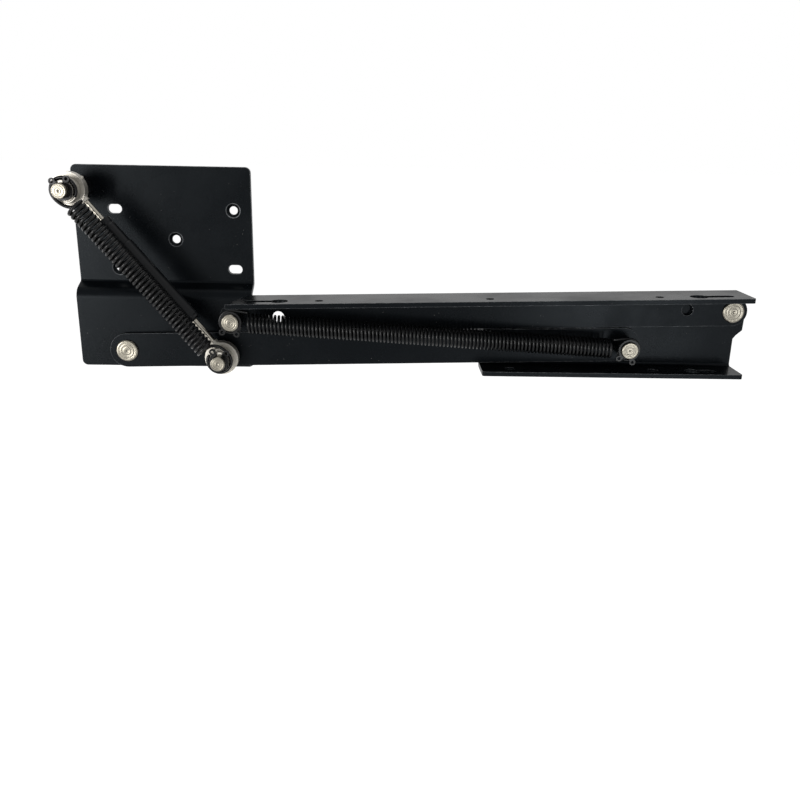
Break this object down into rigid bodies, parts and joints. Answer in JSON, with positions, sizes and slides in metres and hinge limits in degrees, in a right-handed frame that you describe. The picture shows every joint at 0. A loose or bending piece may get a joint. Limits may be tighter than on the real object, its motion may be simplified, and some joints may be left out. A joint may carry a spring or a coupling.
{
  "type": "folding stool hinge",
  "caption": "Swing-down hinge unit for a folding stool: step plate, two parallel arms, leg bracket, damper and two tension springs.",
  "frame": {"origin": "middle of the plate's 64 by 32 mm screw pattern, on the plate's back face, where it lies on the cabinet panel", "axes": "+X along the arms as they lie folded, +Z across the plate towards its free top edge, +Y through the plate into the panel. In use the part stands with +X pointing up: the folded arms lie upright along the panel, and swing out to level"},
  "size_m": [0.3754, 0.0423, 0.1096],
  "materials": {
    "black_powder_coat": "satin black powder coat on pressed steel",
    "plated_steel": "bright zinc plated, turned",
    "cast_zinc": "warm grey bare casting",
    "black_oxide": "black oxide on spring steel",
    "damper_black": "smooth black paint on a drawn tube",
    "liner_plastic": "moulded black plastic liner"
  },
  "bodies": {
    "plate": {"mounting_plate": "black_powder_coat", "bar_pivot_rivet": "plated_steel", "bar_pivot_washer": "plated_steel", "arm_pivot_pin": "plated_steel", "arm_pivot_washer": "plated_steel", "arm_pivot_spacer": "liner_plastic", "arm_pivot_circlip": "black_oxide", "damper_anchor_pin": "plated_steel", "damper_anchor_drum": "cast_zinc", "damper_anchor_circlip": "black_oxide"},
    "seat_arm": {"seat_arm": "black_powder_coat", "leg_pivot_rivet": "plated_steel", "leg_pivot_washer": "plated_steel"},
    "lower_bar": {"lower_bar": "black_powder_coat", "bracket_pin": "plated_steel", "bracket_pin_washer": "plated_steel", "bracket_pin_spacer": "liner_plastic", "bracket_pin_circlip": "black_oxide", "damper_drive_pin": "plated_steel", "damper_drive_drum": "cast_zinc", "damper_drive_circlip": "black_oxide"},
    "leg_bracket": {"leg_bracket": "black_powder_coat"},
    "damper_rod": {"damper_rod_eye": "cast_zinc", "damper_rod": "plated_steel", "damper_piston": "plated_steel", "short_spring": "black_oxide"},
    "damper_tube": {"damper_base_eye": "cast_zinc", "damper_base_rod": "plated_steel", "damper_tube": "damper_black", "damper_gland": "damper_black"},
    "spring_rear": {"spring_rear_sleeve": "liner_plastic", "long_spring": "black_oxide"},
    "spring_front": {"spring_front_sleeve": "liner_plastic"}
  },
  "joints": [
    {"name": "seat_arm_fold", "type": "hinge", "parent": "plate", "child": "seat_arm", "pos_m": [0.0325, -0.01375, -0.0405], "axis": [0, 1, 0], "range_deg": [0, 90], "stiffness_Nm_per_rad": 1.2, "springref_deg": -114.59},
    {"name": "lower_bar_fold", "type": "hinge", "parent": "plate", "child": "lower_bar", "pos_m": [-0.0275, -0.01375, -0.06], "axis": [0, 1, 0], "range_deg": [0, 90]},
    {"name": "leg_bracket_pivot", "type": "hinge", "parent": "seat_arm", "child": "leg_bracket", "pos_m": [0.30941, -0.01225, -0.03325], "axis": [0, 1, 0], "range_deg": [-90, 0]},
    {"name": "damper_rod_pivot", "type": "hinge", "parent": "plate", "child": "damper_rod", "pos_m": [-0.0487, -0.0212, 0.027], "axis": [0, 1, 0], "range_deg": [0, 32.3], "deforming": ["short_spring"]},
    {"name": "damper_tube_pivot", "type": "hinge", "parent": "lower_bar", "child": "damper_tube", "pos_m": [0.02606, -0.0212, -0.0616], "axis": [0, 1, 0], "range_deg": [-57.9, 0]},
    {"name": "spring_rear_pivot", "type": "hinge", "parent": "plate", "child": "spring_rear", "pos_m": [0.0325, -0.0267, -0.0405], "axis": [0, 1, 0], "range_deg": [0, 96.9], "deforming": ["long_spring"]},
    {"name": "spring_front_pivot", "type": "hinge", "parent": "lower_bar", "child": "spring_front", "pos_m": [0.24941, -0.0267, -0.05275], "axis": [0, 1, 0], "range_deg": [0, 6.9]}
  ],
  "couplings": [
    {"joint": "lower_bar_fold", "follows": "seat_arm_fold", "ratio": 1},
    {"joint": "leg_bracket_pivot", "follows": "seat_arm_fold", "ratio": -1},
    {"joint": "damper_rod_pivot", "follows": "seat_arm_fold", "ratio": 0.35799},
    {"joint": "damper_tube_pivot", "follows": "seat_arm_fold", "ratio": -0.64201},
    {"joint": "spring_rear_pivot", "follows": "seat_arm_fold", "ratio": 1.0762},
    {"joint": "spring_front_pivot", "follows": "seat_arm_fold", "ratio": 0.076208}
  ]
}
